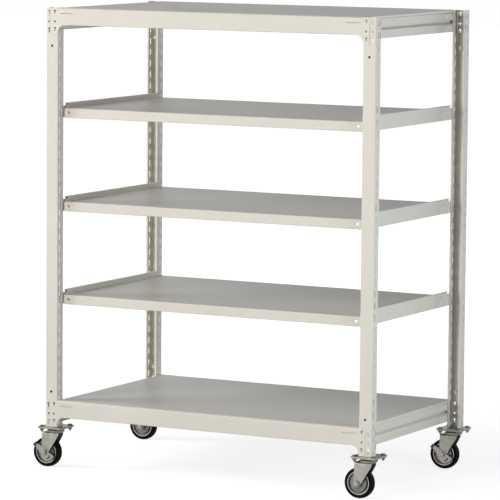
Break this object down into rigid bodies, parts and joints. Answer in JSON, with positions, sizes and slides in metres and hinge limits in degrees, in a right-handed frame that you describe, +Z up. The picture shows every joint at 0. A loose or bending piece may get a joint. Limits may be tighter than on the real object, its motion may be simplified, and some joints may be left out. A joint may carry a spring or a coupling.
{
  "type": "mobile shelving",
  "caption": "Boltless steel rack of end decks and adjustable shelves between slotted channel posts, rolling on plate-mounted swivel casters with foot-lever brakes.",
  "frame": {"origin": "on the floor, at the middle of the footprint of the whole object with its casters trailing to -X", "axes": "+Z up, -Y the front, +X to the right seen from the front"},
  "size_m": [1.2848, 0.7332, 1.53],
  "materials": {
    "post_paint": "pale warm grey powder coat, satin",
    "beam_paint": "ivory powder coat, satin",
    "deck_paint": "grey coated sheet steel, glossy",
    "zinc": "dull zinc-plated pressed steel",
    "wheel_steel": "zinc-plated pressed steel disc",
    "tyre_rubber": "black solid rubber",
    "pedal_plastic": "black moulded cap"
  },
  "bodies": {
    "rack": {"deck_bottom": "deck_paint", "beam_bottom_front": "beam_paint", "beam_bottom_rear": "beam_paint", "tie_bottom_left": "beam_paint", "tie_bottom_right": "beam_paint", "deck_top": "deck_paint", "beam_top_front": "beam_paint", "beam_top_rear": "beam_paint", "tie_top_left": "beam_paint", "tie_top_right": "beam_paint", "shelf_1": "deck_paint", "support_1_left": "beam_paint", "support_1_right": "beam_paint", "shelf_2": "deck_paint", "support_2_left": "beam_paint", "support_2_right": "beam_paint", "shelf_3": "deck_paint", "support_3_left": "beam_paint", "support_3_right": "beam_paint", "post_front_left": "post_paint", "foot_plate_front_left": "zinc", "caster_plate_front_left": "zinc", "post_front_right": "post_paint", "foot_plate_front_right": "zinc", "caster_plate_front_right": "zinc", "post_rear_left": "post_paint", "foot_plate_rear_left": "zinc", "caster_plate_rear_left": "zinc", "post_rear_right": "post_paint", "foot_plate_rear_right": "zinc", "caster_plate_rear_right": "zinc"},
    "fork_front_left": {"fork_front_left": "zinc"},
    "wheel_front_left": {"wheel_front_left": "wheel_steel", "tyre_front_left": "tyre_rubber"},
    "brake_front_left": {"brake_lever_front_left": "zinc", "brake_pedal_front_left": "pedal_plastic"},
    "fork_front_right": {"fork_front_right": "zinc"},
    "wheel_front_right": {"wheel_front_right": "wheel_steel", "tyre_front_right": "tyre_rubber"},
    "fork_rear_left": {"fork_rear_left": "zinc"},
    "wheel_rear_left": {"wheel_rear_left": "wheel_steel", "tyre_rear_left": "tyre_rubber"},
    "fork_rear_right": {"fork_rear_right": "zinc"},
    "wheel_rear_right": {"wheel_rear_right": "wheel_steel", "tyre_rear_right": "tyre_rubber"},
    "brake_rear_right": {"brake_lever_rear_right": "zinc", "brake_pedal_rear_right": "pedal_plastic"}
  },
  "joints": [
    {"name": "swivel_front_left", "type": "hinge", "parent": "rack", "child": "fork_front_left", "pos_m": [-0.56145, -0.3216, 0.119], "axis": [0, 0, 1], "continuous": true},
    {"name": "spin_front_left", "type": "hinge", "parent": "fork_front_left", "child": "wheel_front_left", "pos_m": [-0.59245, -0.3216, 0.05], "axis": [0, 1, 0], "continuous": true},
    {"name": "brake_front_left", "type": "hinge", "parent": "fork_front_left", "child": "brake_front_left", "pos_m": [-0.59245, -0.3216, 0.05], "axis": [0, -1, 0], "range_deg": [0, 22]},
    {"name": "swivel_front_right", "type": "hinge", "parent": "rack", "child": "fork_front_right", "pos_m": [0.59745, -0.3216, 0.119], "axis": [0, 0, 1], "continuous": true},
    {"name": "spin_front_right", "type": "hinge", "parent": "fork_front_right", "child": "wheel_front_right", "pos_m": [0.56645, -0.3216, 0.05], "axis": [0, 1, 0], "continuous": true},
    {"name": "swivel_rear_left", "type": "hinge", "parent": "rack", "child": "fork_rear_left", "pos_m": [-0.56145, 0.3216, 0.119], "axis": [0, 0, 1], "continuous": true},
    {"name": "spin_rear_left", "type": "hinge", "parent": "fork_rear_left", "child": "wheel_rear_left", "pos_m": [-0.59245, 0.3216, 0.05], "axis": [0, 1, 0], "continuous": true},
    {"name": "swivel_rear_right", "type": "hinge", "parent": "rack", "child": "fork_rear_right", "pos_m": [0.59745, 0.3216, 0.119], "axis": [0, 0, 1], "continuous": true},
    {"name": "spin_rear_right", "type": "hinge", "parent": "fork_rear_right", "child": "wheel_rear_right", "pos_m": [0.56645, 0.3216, 0.05], "axis": [0, 1, 0], "continuous": true},
    {"name": "brake_rear_right", "type": "hinge", "parent": "fork_rear_right", "child": "brake_rear_right", "pos_m": [0.56645, 0.3216, 0.05], "axis": [0, -1, 0], "range_deg": [0, 22]}
  ]
}
